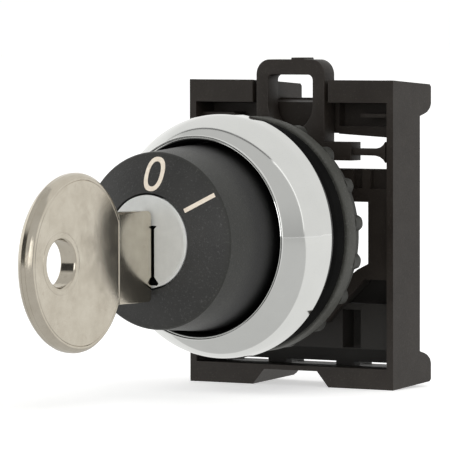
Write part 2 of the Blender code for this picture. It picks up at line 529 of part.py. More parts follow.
# --- leaf springs between the latch's shoulders and the side walls -------
for side, sx in (("right", 1), ("left", -1)):
    leaf = [(sx * (SHOULDER_X + 0.3), 9.68), (sx * 12.6, 9.68), (sx * 13.4, 9.45), (sx * (FRAME_X - WALL_T - 0.3), 8.9),
            (sx * (FRAME_X - WALL_T - 0.3), 11.3), (sx * 13.4, 10.75), (sx * 12.6, 10.52), (sx * (SHOULDER_X + 0.3), 10.52)]
    finish(prism(leaf, "XZ", FRAME_FRONT + 0.1, LATCH_REAR - 0.1), "latch_spring_" + side, FRAME)

# --- joint axes: every moving piece hangs from an empty on its own axis --
turn_axis = pivot("axis_plug_turn", (0, 0, 0))
key_axis = pivot("axis_key_slide", (0, SHANK_END, (BLADE_TOP + BLADE_BOTTOM) / 2))
wafer_axis = pivot("axis_wafer_drop", (0, WAFER_Y[2], 0))
nut_axis = pivot("axis_nut_travel", (0, NUT[0], 0))
latch_axis = pivot("axis_latch_lift", (0, FRAME_FRONT, SHOULDER[0]))


def hang(child, parent):
    bpy.context.view_layer.update()
    child.parent = parent
    child.matrix_parent_inverse = parent.matrix_world.inverted()


hang(key_axis, turn_axis)
hang(wafer_axis, turn_axis)
for name in ("lock_plug", "plug_clip", "cam_rotor"):
    hang(bpy.data.objects[name], turn_axis)
hang(bpy.data.objects["key"], key_axis)
for n in range(len(WAFER_Y)):
    hang(bpy.data.objects["wafer_%d" % (n + 1)], wafer_axis)
    hang(bpy.data.objects["wafer_spring_%d" % (n + 1)], turn_axis)
hang(bpy.data.objects["ring_nut"], nut_axis)
hang(bpy.data.objects["release_latch"], latch_axis)
for side, sx in (("right", 1), ("left", -1)):
    pin_axis = pivot("axis_plunger_" + side, (sx * PIN_X, PIN_TIP, 0))
    hang(bpy.data.objects["plunger_" + side], pin_axis)
# tools follow the piece they shape
for ob in list(bpy.data.objects):
    if ob.name.startswith("tool_"):
        for owner in bpy.data.objects:
            if any(m.type == "BOOLEAN" and m.object == ob for m in owner.modifiers) and owner.parent:
                hang(ob, owner.parent)
bpy.context.view_layer.update()
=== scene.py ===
"""Looks for the selector key switch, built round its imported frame.

Lengths below are in millimetres and MM turns them into metres.  X is to the
viewer's right, Y runs back through the panel and Z is up.
"""

import math

import bmesh
import bpy
from mathutils import Matrix, Vector


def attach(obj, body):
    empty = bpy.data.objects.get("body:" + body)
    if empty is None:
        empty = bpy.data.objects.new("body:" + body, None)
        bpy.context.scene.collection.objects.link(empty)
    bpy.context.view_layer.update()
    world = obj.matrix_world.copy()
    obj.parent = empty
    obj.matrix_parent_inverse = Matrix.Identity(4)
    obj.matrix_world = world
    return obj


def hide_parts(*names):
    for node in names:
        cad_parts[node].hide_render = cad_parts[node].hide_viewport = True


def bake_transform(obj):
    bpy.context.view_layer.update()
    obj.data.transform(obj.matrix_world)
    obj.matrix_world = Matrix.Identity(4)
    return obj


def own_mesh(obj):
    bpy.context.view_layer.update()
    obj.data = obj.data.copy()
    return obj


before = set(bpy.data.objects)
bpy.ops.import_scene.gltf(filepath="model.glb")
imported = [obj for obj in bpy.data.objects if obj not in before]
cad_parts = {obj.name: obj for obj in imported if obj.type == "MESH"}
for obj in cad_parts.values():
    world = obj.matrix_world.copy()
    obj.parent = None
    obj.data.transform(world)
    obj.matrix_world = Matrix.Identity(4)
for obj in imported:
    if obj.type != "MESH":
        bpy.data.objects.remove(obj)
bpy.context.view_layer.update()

MM = 0.001
TAU = math.tau


# ---------------------------------------------------------------- materials
def new_material(name, colour, metallic=0.0, rough=0.5, specular=0.5):
    mat = bpy.data.materials.new(name)
    mat.use_nodes = True
    tree = mat.node_tree
    bsdf = tree.nodes["Principled BSDF"]
    bsdf.inputs["Base Color"].default_value = (*colour, 1.0)
    bsdf.inputs["Metallic"].default_value = metallic
    bsdf.inputs["Roughness"].default_value = rough
    bsdf.inputs["Specular IOR Level"].default_value = specular
    coord = tree.nodes.new("ShaderNodeTexCoord")
    return mat, tree, bsdf, coord.outputs["Object"]


def noise(tree, coord, size_mm, detail=3.0, rough=0.5, stretch=(1, 1, 1), kind="FBM"):
    """A noise whose features are about size_mm across."""
    mapping = tree.nodes.new("ShaderNodeMapping")
    mapping.inputs["Scale"].default_value = stretch
    tree.links.new(coord, mapping.inputs["Vector"])
    node = tree.nodes.new("ShaderNodeTexNoise")
    node.inputs["Scale"].default_value = 1.0 / (size_mm * MM)
    node.inputs["Detail"].default_value = detail
    node.inputs["Roughness"].default_value = rough
    tree.links.new(mapping.outputs["Vector"], node.inputs["Vector"])
    return node.outputs["Fac"]


def ramp(tree, fac, stops):
    node = tree.nodes.new("ShaderNodeValToRGB")
    cr = node.color_ramp
    while len(cr.elements) < len(stops):
        cr.elements.new(0.5)
    for element, (pos, value) in zip(cr.elements, stops):
        element.position = pos
        if isinstance(value, (int, float)):
            value = (value, value, value)
        element.color = (*value, 1.0)
    tree.links.new(fac, node.inputs["Fac"])
    return node.outputs["Color"]


def mix_rgb(tree, fac, a, b, mode="MIX"):
    node = tree.nodes.new("ShaderNodeMix")
    node.data_type = "RGBA"
    node.blend_type = mode
    sockets = {s.identifier: s for s in node.inputs}
    outs = {s.identifier: s for s in node.outputs}
    for key, value in (("Factor_Float", fac), ("A_Color", a), ("B_Color", b)):
        sock = sockets[key]
        if isinstance(value, bpy.types.NodeSocket):
            tree.links.new(value, sock)
        elif isinstance(value, tuple):
            sock.default_value = (*value, 1.0)
        else:
            sock.default_value = value
    return outs["Result_Color"]


def bump(tree, bsdf, height, strength, distance_mm, after=None):
    node = tree.nodes.new("ShaderNodeBump")
    node.inputs["Strength"].default_value = strength
    node.inputs["Distance"].default_value = distance_mm * MM
    tree.links.new(height, node.inputs["Height"])
    if after is not None:
        tree.links.new(after, node.inputs["Normal"])
    tree.links.new(node.outputs["Normal"], bsdf.inputs["Normal"])
    return node.outputs["Normal"]


def along(tree, coord, axis, stops):
    """A ramp along one axis of the object, with stops given in millimetres."""
    split = tree.nodes.new("ShaderNodeSeparateXYZ")
    tree.links.new(coord, split.inputs["Vector"])
    span = tree.nodes.new("ShaderNodeMapRange")
    span.inputs["From Min"].default_value = stops[0][0] * MM
    span.inputs["From Max"].default_value = stops[-1][0] * MM
    tree.links.new(split.outputs[axis], span.inputs["Value"])
    width = stops[-1][0] - stops[0][0]
    return ramp(tree, span.outputs["Result"], [((mm - stops[0][0]) / width, v) for mm, v in stops])


def moulded_plastic(name, dark, light, rough, grain_mm, grain_depth, specular=0.5, speck=None, mottle_mm=3.0, shade=None, recess_plastic_and_shade=None):
    """Moulded plastic: spark-eroded grain, slow colour drift, a few pale dust specks and, if asked, painted shade along
    one axis and a sunken web coloured partly as painted shade.
    """
    mat, tree, bsdf, coord = new_material(name, dark, 0.0, rough, specular)
    drift = noise(tree, coord, mottle_mm, 3.0, 0.55)
    colour = ramp(tree, drift, [(0.32, dark), (0.68, light)])
    grain = noise(tree, coord, grain_mm, 4.0, 0.62)
    if speck:
        dots = noise(tree, coord, grain_mm * 1.4, 2.0, 0.5)
        mask = ramp(tree, dots, [(0.58, 0.0), (0.76, 1.0)])
        colour = mix_rgb(tree, mask, colour, speck)
    if recess_plastic_and_shade:
        # the sunken web low down inside the frame takes a more neutral colour: partly its own blacker plastic, partly
        # painted shade of that sunken part
        inner = mix_rgb(tree, 1.0, along(tree, coord, "X", [(-15.0, 0.0), (-14.2, 1.0), (14.2, 1.0), (15.0, 0.0)]),
                        along(tree, coord, "Y", [(15.7, 0.0), (16.1, 1.0)]), "MULTIPLY")
        inner = mix_rgb(tree, 1.0, inner, along(tree, coord, "Z", [(-17.2, 0.0), (-16.9, 1.0), (-5.0, 1.0), (-4.0, 0.0)]), "MULTIPLY")
        colour = mix_rgb(tree, inner, colour, recess_plastic_and_shade)
    if shade:
        colour = mix_rgb(tree, 1.0, colour, along(tree, coord, *shade), "MULTIPLY")
    tree.links.new(colour, bsdf.inputs["Base Color"])
    tree.links.new(ramp(tree, grain, [(0.3, rough - 0.06), (0.7, rough + 0.08)]), bsdf.inputs["Roughness"])
    bump(tree, bsdf, grain, 0.55, grain_depth)
    return mat


def worn_metal(name, dark, light, rough_low, rough_high, mottle_mm, fine_mm, depth, scratch=0.0, stain=None, painted_keyway_shade=False, metallic=1.0):
    """Plated or cast metal: cloudy plating, fine pits and, if asked, hair scratches, stains and painted shade inside a
    keyway.
    """
    mat, tree, bsdf, coord = new_material(name, light, metallic, rough_low)
    cloud = noise(tree, coord, mottle_mm, 4.0, 0.6)
    colour = ramp(tree, cloud, [(0.3, dark), (0.66, light)])
    if stain:
        spots = noise(tree, coord, mottle_mm * 0.35, 5.0, 0.7)
        colour = mix_rgb(tree, ramp(tree, spots, [(0.60, 0.0), (0.80, 0.55)]), colour, stain)
    if painted_keyway_shade:
        # painted shade: black down inside the keyway, none on the outside, standing in for the shadow in the deep slot
        middle = mix_rgb(tree, 1.0, along(tree, coord, "X", [(-2.4, 0.0), (-1.9, 1.0), (1.9, 1.0), (2.4, 0.0)]),
                         along(tree, coord, "Y", [(-17.80, 0.0), (-17.70, 1.0)]), "MULTIPLY")
        colour = mix_rgb(tree, middle, colour, (0.006, 0.006, 0.006))
    tree.links.new(colour, bsdf.inputs["Base Color"])
    tree.links.new(ramp(tree, cloud, [(0.3, rough_high), (0.7, rough_low)]), bsdf.inputs["Roughness"])
    pits = noise(tree, coord, fine_mm, 3.0, 0.6)
    last = bump(tree, bsdf, pits, 0.5, depth)
    if scratch:
        lines = noise(tree, coord, 0.7, 2.0, 0.5, stretch=(1.0, 1.0, 14.0))
        bump(tree, bsdf, lines, scratch, 0.01, after=last)
    return mat


NICKEL = worn_metal("key_nickel_worn", (0.53, 0.482, 0.40), (0.605, 0.557, 0.472), 0.12, 0.22, 2.6, 0.35, 0.006,
                    scratch=0.12, stain=(0.36, 0.31, 0.24))
# the satin plug carries painted shade, black down inside its keyway
SATIN = worn_metal("plug_satin_chrome", (0.68, 0.69, 0.675), (0.74, 0.75, 0.735), 0.50, 0.58, 1.8, 0.12, 0.003,
                   scratch=0.05, painted_keyway_shade=True, metallic=0.5)
CHROME = worn_metal("bezel_bright_chrome", (0.695, 0.70, 0.685), (0.72, 0.725, 0.71), 0.035, 0.06, 4.0, 2.2, 0.0012)
ZINC = worn_metal("housing_cast_zinc", (0.42, 0.42, 0.41), (0.55, 0.55, 0.53), 0.38, 0.52, 1.6, 0.25, 0.01)
BRASS = worn_metal("wafer_stamped_brass", (0.60, 0.45, 0.20), (0.74, 0.58, 0.30), 0.24, 0.36, 1.2, 0.2, 0.004, scratch=0.2)
STEEL = worn_metal("spring_drawn_steel", (0.48, 0.48, 0.48), (0.60, 0.60, 0.60), 0.22, 0.34, 0.8, 0.1, 0.002)
# painted shade: the collar's side is darker and greener than its coned face, then falls almost to black towards the
# bezel as a painted shadow of the bezel lip
COLLAR = moulded_plastic("collar_grained_plastic", (0.0150, 0.0150, 0.0145), (0.0205, 0.0203, 0.0193), 0.44, 0.17, 0.06,
                         specular=0.5, speck=(0.052, 0.052, 0.050),
                         shade=("Y", [(-16.3, (1.0, 1.0, 1.0)), (-15.8, (0.80, 0.82, 0.70)), (-12.6, (0.76, 0.78, 0.68)),
                                      (-11.4, (0.42, 0.43, 0.38)), (-10.4, 0.10)]))
# the frame's sunken web is recoloured, partly as its own plastic and partly as painted shade
FRAME = moulded_plastic("adapter_moulded_plastic", (0.0150, 0.0110, 0.0082), (0.0215, 0.0168, 0.0132), 0.50, 0.16, 0.02,
                        specular=0.36, speck=(0.034, 0.028, 0.023), recess_plastic_and_shade=(0.0165, 0.0148, 0.0128))
# painted shade: the lugs behind the plain front band are darkened to 0.6, as the shade they sit in behind it
NUT = moulded_plastic("nut_glass_filled_plastic", (0.036, 0.036, 0.030), (0.051, 0.051, 0.044), 0.56, 0.20, 0.03,
                      speck=(0.09, 0.09, 0.08), shade=("Y", [(6.15, 1.0), (6.5, 0.6)]))
BODY = moulded_plastic("body_moulded_plastic", (0.018, 0.018, 0.017), (0.026, 0.026, 0.025), 0.48, 0.18, 0.02)
RUBBER = moulded_plastic("seal_black_rubber", (0.0028, 0.0028, 0.0027), (0.0046, 0.0046, 0.0044), 0.75, 0.12, 0.01, specular=0.04)
ACETAL = moulded_plastic("plunger_natural_acetal", (0.62, 0.61, 0.56), (0.70, 0.69, 0.64), 0.38, 0.3, 0.006, specular=0.5)
MARK = moulded_plastic("mark_cream_infill", (0.74, 0.65, 0.54), (0.84, 0.76, 0.65), 0.48, 0.10, 0.008, specular=0.35,
                       mottle_mm=0.7)


# ---------------------------------------------------------------- mesh helpers
def soften(points, default=0.1, steps=4):
    """Round the corners of a closed outline; a third number is that corner's own radius."""
    out, count = [], len(points)
    for i, p in enumerate(points):
        rad = p[2] if len(p) > 2 else default
        a, b, c = Vector(points[i - 1][:2]), Vector(p[:2]), Vector(points[(i + 1) % count][:2])
        u, v = a - b, c - b
        lu, lv = u.length, v.length
        if rad <= 0 or lu < 1e-6 or lv < 1e-6:
            out.append((b.x, b.y))
            continue
        u /= lu
        v /= lv
        angle = math.acos(max(-1.0, min(1.0, u.dot(v))))
        if angle > math.pi - 0.05:
            out.append((b.x, b.y))
            continue
        d = min(rad / math.tan(angle / 2), 0.46 * lu, 0.46 * lv)
        p0, p1 = b + u * d, b + v * d
        for k in range(steps + 1):
            t = k / steps
            q = p0 * (1 - t) ** 2 + b * (2 * t * (1 - t)) + p1 * t * t
            out.append((q.x, q.y))
    return out


def lathe(profile, seg=192, axis="Y", centre=(0.0, 0.0), squeeze=(1.0, 1.0), wave=None):
    """Turn a closed outline of (radius, station[, weight]); wave adds weight * wave(angle) to the radius."""
    bm = bmesh.new()
    rings = []
    for point in profile:
        r, s = point[0], point[1]
        weight = point[2] if len(point) > 2 else 0.0
        if r < 1e-6:
            co = (centre[0], s, centre[1]) if axis == "Y" else (s, centre[0], centre[1])
            rings.append([bm.verts.new(co)])
            continue
        ring = []
        for k in range(seg):
            a = TAU * k / seg
            rr = r + (weight * wave(a) if wave else 0.0)
            u, v = rr * math.cos(a), rr * math.sin(a)
            if axis == "Y":
                co = (centre[0] + u, s, centre[1] + v)
            else:
                pull = squeeze[0] if u < 0 else squeeze[1]
                co = (s, centre[0] + u * pull, centre[1] + v)
            ring.append(bm.verts.new(co))
        rings.append(ring)
    for i, low in enumerate(rings):
        high = rings[(i + 1) % len(rings)]
        if len(low) == 1 and len(high) == 1:
            continue
        for k in range(seg):
            m = (k + 1) % seg
            if len(low) == 1:
                bm.faces.new((low[0], high[m], high[k]))
            elif len(high) == 1:
                bm.faces.new((low[k], low[m], high[0]))
            else:
                bm.faces.new((low[k], low[m], high[m], high[k]))
    return bm


def loft(sections):
    """Closed sections of equal length, joined in turn and capped at both ends."""
    bm = bmesh.new()
    rows = [[bm.verts.new(p) for p in section] for section in sections]
    for low, high in zip(rows, rows[1:]):
        n = len(low)
        for k in range(n):
            bm.faces.new((low[k], low[(k + 1) % n], high[(k + 1) % n], high[k]))
    bm.faces.new(rows[0])
    bm.faces.new(rows[-1])
    return bm


def prism(points, plane, low, high):
    order = {"XZ": (0, 2, 1), "YZ": (1, 2, 0), "XY": (0, 1, 2)}[plane]
    sections = []
    for level in (low, high):
        section = []
        for a, b in points:
            co = [0.0, 0.0, 0.0]
            co[order[0]], co[order[1]], co[order[2]] = a, b, level
            section.append(tuple(co))
        sections.append(section)
    return loft(sections)


def box(x0, x1, y0, y1, z0, z1):
    return prism([(x0, y0), (x1, y0), (x1, y1), (x0, y1)], "XY", z0, z1)


def arc(cx, cy, r, start, stop, steps):
    return [(cx + r * math.cos(math.radians(start + (stop - start) * i / steps)),
             cy + r * math.sin(math.radians(start + (stop - start) * i / steps))) for i in range(steps + 1)]


def mesh_from(bm, name):
    bmesh.ops.remove_doubles(bm, verts=bm.verts, dist=1e-5)
    bmesh.ops.recalc_face_normals(bm, faces=bm.faces)
    bmesh.ops.scale(bm, vec=(MM, MM, MM), verts=bm.verts)
    me = bpy.data.meshes.new(name)
    bm.to_mesh(me)
    bm.free()
    return me


def loose(bm, name):
    ob = bpy.data.objects.new(name, mesh_from(bm, name))
    bpy.context.scene.collection.objects.link(ob)
    return ob


def evaluated_mesh(ob, name):
    bpy.context.view_layer.update()
    depsgraph = bpy.context.evaluated_depsgraph_get()
    return bpy.data.meshes.new_from_object(ob.evaluated_get(depsgraph), depsgraph=depsgraph)


def carve(ob, steps):
    """Apply exact Booleans in turn; steps are (operation, bmesh)."""
    tools = []
    for i, (operation, bm) in enumerate(steps):
        tool = loose(bm, "%s_tool_%d" % (ob.name, i))
        tools.append(tool)
        mod = ob.modifiers.new("b%d" % i, "BOOLEAN")
        mod.operation = operation
        mod.solver = "EXACT"
        mod.object = tool
    me = evaluated_mesh(ob, ob.name)
    ob.modifiers.clear()
    ob.data = me
    for tool in tools:
        bpy.data.objects.remove(tool)
    bm = bmesh.new()
    bm.from_mesh(me)
    bmesh.ops.remove_doubles(bm, verts=bm.verts, dist=1e-8)
    bmesh.ops.dissolve_limit(bm, angle_limit=math.radians(0.4), verts=bm.verts, edges=bm.edges)
    bm.to_mesh(me)
    bm.free()
    return ob


def bevel(ob, width_mm, segments=2, angle=32.0):
    """Break the sharp edges, as a mould or a stamping does, and bake it into the mesh."""
    mod = ob.modifiers.new("edge", "BEVEL")
    mod.width = width_mm * MM
    mod.segments = segments
    mod.limit_method = "ANGLE"
    mod.angle_limit = math.radians(angle)
    mod.use_clamp_overlap = True
    mod.miter_outer = "MITER_ARC"
    me = evaluated_mesh(ob, ob.name)
    ob.modifiers.clear()
    ob.data = me
    return ob


def piece(thing, name, mat, body, replaces=(), sharp=32.0):
    """Name a piece, give it its material, and let it ride on a body."""
    ob = loose(thing, name) if isinstance(thing, bmesh.types.BMesh) else thing
    ob.name = name
    ob.data.name = name
    ob.data.materials.clear()
    ob.data.materials.append(mat)
    ob.data.shade_smooth()
    ob.data.set_sharp_from_angle(angle=math.radians(sharp))
    if body:
        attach(ob, body)
    if replaces:
        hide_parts(*replaces)
    return ob


def plate(outlines, plane, low, high, edge, name):
    """A flat stamped or moulded part with holes and rounded edges, from a filled 2-D curve."""
    cu = bpy.data.curves.new(name, "CURVE")
    cu.dimensions = "2D"
    cu.fill_mode = "BOTH"
    cu.extrude = ((high - low) / 2 - edge) * MM
    cu.bevel_depth = edge * MM
    cu.bevel_resolution = 2
    cu.offset = -edge * MM
    for pts in outlines:
        sp = cu.splines.new("POLY")
        sp.points.add(len(pts) - 1)
        for point, (a, b) in zip(sp.points, pts):
            point.co = (a * MM, b * MM, 0.0, 1.0)
        sp.use_cyclic_u = True
    ob = bpy.data.objects.new(name + "_curve", cu)
    bpy.context.scene.collection.objects.link(ob)
    me = evaluated_mesh(ob, name)
    bpy.data.objects.remove(ob)
    middle = (low + high) / 2 * MM
    if plane == "XZ":
        turn = Matrix(((1, 0, 0, 0), (0, 0, -1, middle), (0, 1, 0, 0), (0, 0, 0, 1)))
    else:
        turn = Matrix(((0, 0, 1, middle), (1, 0, 0, 0), (0, 1, 0, 0), (0, 0, 0, 1)))
    me.transform(turn)
    bm = bmesh.new()
    bm.from_mesh(me)
    bmesh.ops.remove_doubles(bm, verts=bm.verts, dist=1e-7)
    bmesh.ops.recalc_face_normals(bm, faces=bm.faces)
    bm.to_mesh(me)
    bm.free()
    out = bpy.data.objects.new(name, me)
    bpy.context.scene.collection.objects.link(out)
    return out


def smooth_line(points, per=10):
    """A Catmull-Rom line through the points."""
    out = []
    pts = [Vector(p) for p in points]
    for i in range(len(pts) - 1):
        p0 = pts[max(i - 1, 0)]
        p1, p2 = pts[i], pts[i + 1]
        p3 = pts[min(i + 2, len(pts) - 1)]
        for k in range(per):
            t = k / per
            q = 0.5 * ((2 * p1) + (p2 - p0) * t + (2 * p0 - 5 * p1 + 4 * p2 - p3) * t * t
                       + (3 * p1 - p0 - 3 * p2 + p3) * t ** 3)
            out.append((q.x, q.y))
    out.append(tuple(pts[-1]))
    return out


# ---------------------------------------------------------------- key
BOW_Y, BOW_Z = -32.9, -1.9
HALF = 1.1
rim = [(0, -HALF), (9.68, -HALF, 0), (9.74, -HALF + 0.05, 0), (9.80, -HALF, 0), (10.12, -HALF, 0.1), (10.42, -0.72, 0.25),
       (10.58, -0.36, 0), (10.545, -0.34, 0), (10.585, -0.31, 0), (10.60, 0.22, 0), (10.56, 0.245, 0), (10.59, 0.27, 0),
       (10.47, 0.68, 0.3), (10.12, HALF, 0.25), (9.80, HALF, 0), (9.74, HALF - 0.05, 0), (9.68, HALF, 0), (0, HALF)]
bow = loose(lathe(soften(rim, 0.0, 5), 256, "X", (BOW_Y, BOW_Z), squeeze=(10.4 / 10.6, 9.15 / 10.6)), "key")
shank_outline = soften([(-29.3, -7.2, 0), (-18.15, -7.2, 0.7), (-18.15, 3.75, 0.85), (-29.3, 3.75, 0)], 0, 8)
shank = plate([shank_outline], "YZ", -0.85, 0.85, 0.14, "shank")
notches = []
for wy, depth in zip((-2.0, -4.5, -7.0, -9.5, -12.0), (0.35, 0.75, 0.5, 0.9, 0.6)):
    notches += [(wy + 1.0, 1.4 - 0.02), (wy + 0.35, 1.4 - depth), (wy - 0.35, 1.4 - depth), (wy - 1.0, 1.4 - 0.01)]
blade_outline = ([(-20.15, -4.3), (0.2, -4.3), (1.8, -2.3), (1.8, -0.8), (0.2, 0.9)] + notches + [(-20.15, 1.4)])
HOLE = (-37.2, -1.77)
carve(bow, [
    ("DIFFERENCE", prism([(-3, -25.3), (3, -25.3), (3, -20), (-3, -20)], "XY", -16, 12)),
    ("DIFFERENCE", lathe([(0, -HALF - 0.2), (3.16, -HALF - 0.2), (2.84, -HALF + 0.12), (2.80, -HALF + 0.2), (2.80, HALF - 0.2), (2.84, HALF - 0.12),
                          (3.16, HALF + 0.2), (0, HALF + 0.2)], 96, "X", HOLE)),
])


def bm_of(ob):
    bm = bmesh.new()
    bm.from_mesh(ob.data)
    bmesh.ops.scale(bm, vec=(1 / MM,) * 3, verts=bm.verts)
    bpy.data.objects.remove(ob)
    return bm


carve(bow, [("UNION", bm_of(shank)), ("UNION", prism(blade_outline, "YZ", -0.7, 0.7)),
            ("DIFFERENCE", box(0.4, 2, -15.5, 4, -3.0, -1.9)), ("DIFFERENCE", box(-2, -0.4, -15.5, 4, -1.2, -0.2))])
key = piece(bow, "key_cut_and_coined", NICKEL, "key_body", ["key"], sharp=24)
# a low coined ring round the hole, on both faces
for label, s in (("right", 1), ("left", -1)):
    ring = [(3.02, s * (HALF - 0.1)), (3.00, s * (HALF + 0.03), 0.02), (3.66, s * (HALF + 0.035), 0.04), (3.74, s * (HALF - 0.1))]
    piece(lathe(soften(ring, 0.02, 3), 128, "X", HOLE), "key_hole_border_" + label, NICKEL, "key_body", sharp=40)

# a raised bead where the bow steps down to the shank, on both faces
for label, s in (("right", 1), ("left", -1)):
    rows = []
    for i in range(25):
        z = -7.15 + 10.7 * i / 24
        fade = min(1.0, i / 3, (24 - i) / 3)
        rows.append([(s * (HALF - 0.06 + (0.13 * math.sin(math.pi * k / 8)) * fade), -25.37 - 0.15 * math.cos(math.pi * k / 8), z)
                     for k in range(9)] + [(s * (HALF - 0.2), -25.30, z), (s * (HALF - 0.2), -25.45, z)])
    piece(loft(rows), "key_step_bead_" + label, NICKEL, "key_body", sharp=60)

# ---------------------------------------------------------------- lock plug
plug_profile = [(0, -17.85), (5.26, -17.85, 0), (5.30, -17.82, 0.0), (5.35, -17.84, 0.0), (5.56, -17.80, 0.04), (5.63, -17.70, 0.04), (5.63, 3.45, 0.1),
                (4.4, 3.45, 0.05), (4.4, 4.4, 0.05), (5.0, 4.4, 0.05), (5.0, 5.0, 0.05), (0, 5.0)]
plug = loose(lathe(soften(plug_profile, 0, 4), 224), "plug")
mouth = [(-0.98, 1.50), (-0.98, -4.20), (-1.50, -4.95), (-1.40, -5.25), (1.40, -5.25), (1.60, -4.98), (0.98, -4.20), (0.98, 1.50),
         (1.30, 1.78), (1.30, 1.9), (-1.30, 1.9), (-1.30, 1.78)]


def section(points, y, grow=0.0):
    cz = -1.7
    out = []
    for x, z in points:
        out.append((x + math.copysign(grow, x), y, z + math.copysign(grow, z - cz)))
    return out


carve(plug, [
    ("UNION", box(-3, 3, 4.7, 8.0, -1.6, 1.6)),
    ("DIFFERENCE", loft([section(mouth, -18.4, 0.07), section(mouth, -17.851, 0.04), section(mouth, -17.81, 0.0), section(mouth, -15.6, 0.0)])),
    ("DIFFERENCE", box(-1.05, 1.05, -15.9, 2.3, -4.65, 1.75)),
] + [("DIFFERENCE", prism([(-3.6, -7.0), (3.6, -7.0), (3.6, 2.9), (2.15, 2.9), (2.15, 7.0), (-3.6, 7.0)], "XZ", wy - 0.75, wy + 0.75))
     for wy in (-12.0, -9.5, -7.0, -4.5, -2.0)])
piece(plug, "plug_barrel", SATIN, "plug", ["lock_plug"], sharp=24)

# ---------------------------------------------------------------- collar and marks
CONE = math.atan2(1.78, 4.65)
collar_profile = [(5.80, -17.74, 0.03), (6.1, -17.72, 0), (10.60, -16.0, 0.0), (10.72, -15.80, 0.10), (11.05, -11.0, 0.6), (11.35, -7.3, 0.6),
                  (11.4, -2.6, 0.2), (13.4, -2.6, 0.15), (13.4, -0.3, 0.15), (8.5, -0.3, 0.1), (8.5, -16.2, 0.1), (5.80, -16.2, 0.05)]
collar_profile[1] = (5.86, -17.80, 0.03)
collar_profile[2] = (10.55, -17.78 + 4.6 * math.tan(CONE), 0.16)
piece(lathe(soften(collar_profile, 0.1, 5), 256), "collar_shell", COLLAR, "base", ["front_collar"], sharp=50)


def on_cone(u, v, radius, clockwise, lift):
    """Lay a flat drawing point on the coned face."""
    c, s = math.cos(math.radians(clockwise)), math.sin(math.radians(clockwise))
    x = u * c + (radius + v) * s
    z = -u * s + (radius + v) * c
    r = math.hypot(x, z)
    y = -17.78 + (r - 5.95) * math.tan(CONE) - lift
    return (x, y, z)


def stroke(path_pairs, radius, clockwise, closed, name):
    """A filled stroke between an inner and an outer line, slightly crowned with a fine dip along its middle."""
    lanes = [0.0, 0.04, 0.12, 0.26, 0.40, 0.47, 0.53, 0.60, 0.74, 0.88, 0.96, 1.0]
    heights = [-0.05, 0.035, 0.055, 0.062, 0.055, 0.030, 0.030, 0.055, 0.062, 0.055, 0.035, -0.05]
    bm = bmesh.new()
    rows = []
    for (a, b) in path_pairs:
        row = []
        for t, h in zip(lanes, heights):
            row.append(bm.verts.new(on_cone(a[0] + (b[0] - a[0]) * t, a[1] + (b[1] - a[1]) * t, radius, clockwise, h)))
        rows.append(row)
    count = len(rows)
    for i in range(count if closed else count - 1):
        low, high = rows[i], rows[(i + 1) % count]
        for k in range(len(lanes)):
            m = (k + 1) % len(lanes)
            bm.faces.new((low[k], high[k], high[m], low[m]))
    if not closed:
        bm.faces.new(rows[0])
        bm.faces.new(rows[-1])
    return bm


def round_oval(rx, rz, t, power=2.35):
    c, s = math.cos(t), math.sin(t)
    return (rx * math.copysign(abs(c) ** (2 / power), c), rz * math.copysign(abs(s) ** (2 / power), s))


pairs = [(round_oval(0.79, 1.48, TAU * i / 96, 2.3), round_oval(1.36, 2.06, TAU * i / 96)) for i in range(96)]
piece(stroke(pairs, 8.11, 3.2, True, "zero"), "mark_zero_infill", MARK, "base", ["mark_zero"], sharp=50)
one = bmesh.new()
lanes_x = [-0.275, -0.255, -0.1, 0.1, 0.255, 0.275]
heights_one = [-0.05, 0.045, 0.058, 0.058, 0.045, -0.05]
rows = []
lean_c, lean_s = math.cos(math.radians(59.9)), math.sin(math.radians(59.9))
for i in range(15):
    v = -1.94 + 3.88 * i / 14
    row = []
    for x, h in zip(lanes_x, heights_one):
        # the bar leans a few degrees off the radius it stands on
        px = 6.881 + x * lean_c + v * lean_s
        pz = 4.749 - x * lean_s + v * lean_c
        r = math.hypot(px, pz)
        row.append(one.verts.new((px, -17.78 + (r - 5.95) * math.tan(CONE) - h, pz)))
    rows.append(row)
for low, high in zip(rows, rows[1:]):
    for k in range(len(lanes_x)):
        one.faces.new((low[k], high[k], high[(k + 1) % len(lanes_x)], low[(k + 1) % len(lanes_x)]))
one.faces.new(rows[0])
one.faces.new(rows[-1])
piece(one, "mark_one_infill", MARK, "base", ["mark_one"], sharp=50)

# ---------------------------------------------------------------- bezel and its seal
# the dome leans over more and more quickly towards its rim
dome = []
dome_r, dome_y, run = 12.50, -7.17, 0.08
while dome_y < -0.12:
    dome.append((dome_r, dome_y))
    lean = math.radians(min(88.0, 54.0 + 1.3 * run + 0.13 * run ** 2 + 0.098 * run ** 3))
    dome_r += 0.1 * math.cos(lean)
    dome_y += 0.1 * math.sin(lean)
    run += 0.1
bezel_profile = ([(12.01, -6.75), (12.01, -7.06), (12.05, -7.13), (12.13, -7.17), (12.19, -7.15), (12.215, -7.09), (12.26, -7.09), (12.29, -7.20),
                  (12.34, -7.28), (12.41, -7.29), (12.47, -7.26)]
                 + dome + [(14.78, -0.02), (14.70, 0.0), (13.85, 0.0), (13.85, -3.2), (13.2, -4.9), (12.4, -6.2)])
piece(lathe(bezel_profile, 320), "bezel_dome", CHROME, "base", ["bezel_ring"], sharp=40)
seal_profile = [(11.72, -3.0, 0.05), (11.70, -5.6, 0.1), (11.78, -6.5, 0.12), (12.0, -6.7, 0.1), (12.25, -6.0, 0.2), (12.95, -4.4, 0.2),
                (13.4, -3.4, 0.1), (13.4, -3.0, 0.05)]
piece(lathe(soften(seal_profile, 0.1, 4), 192), "collar_lip_seal", RUBBER, "base", ["collar_seal"], sharp=40)

# ---------------------------------------------------------------- threaded body
flange = [(8.5, 0.3, 0.05), (14.5, 0.3, 0.14), (14.5, 1.1, 0.14), (8.5, 1.1, 0.05)]
piece(lathe(soften(flange, 0.1, 4), 224), "body_flange", BODY, "base", ["threaded_body"], sharp=40)


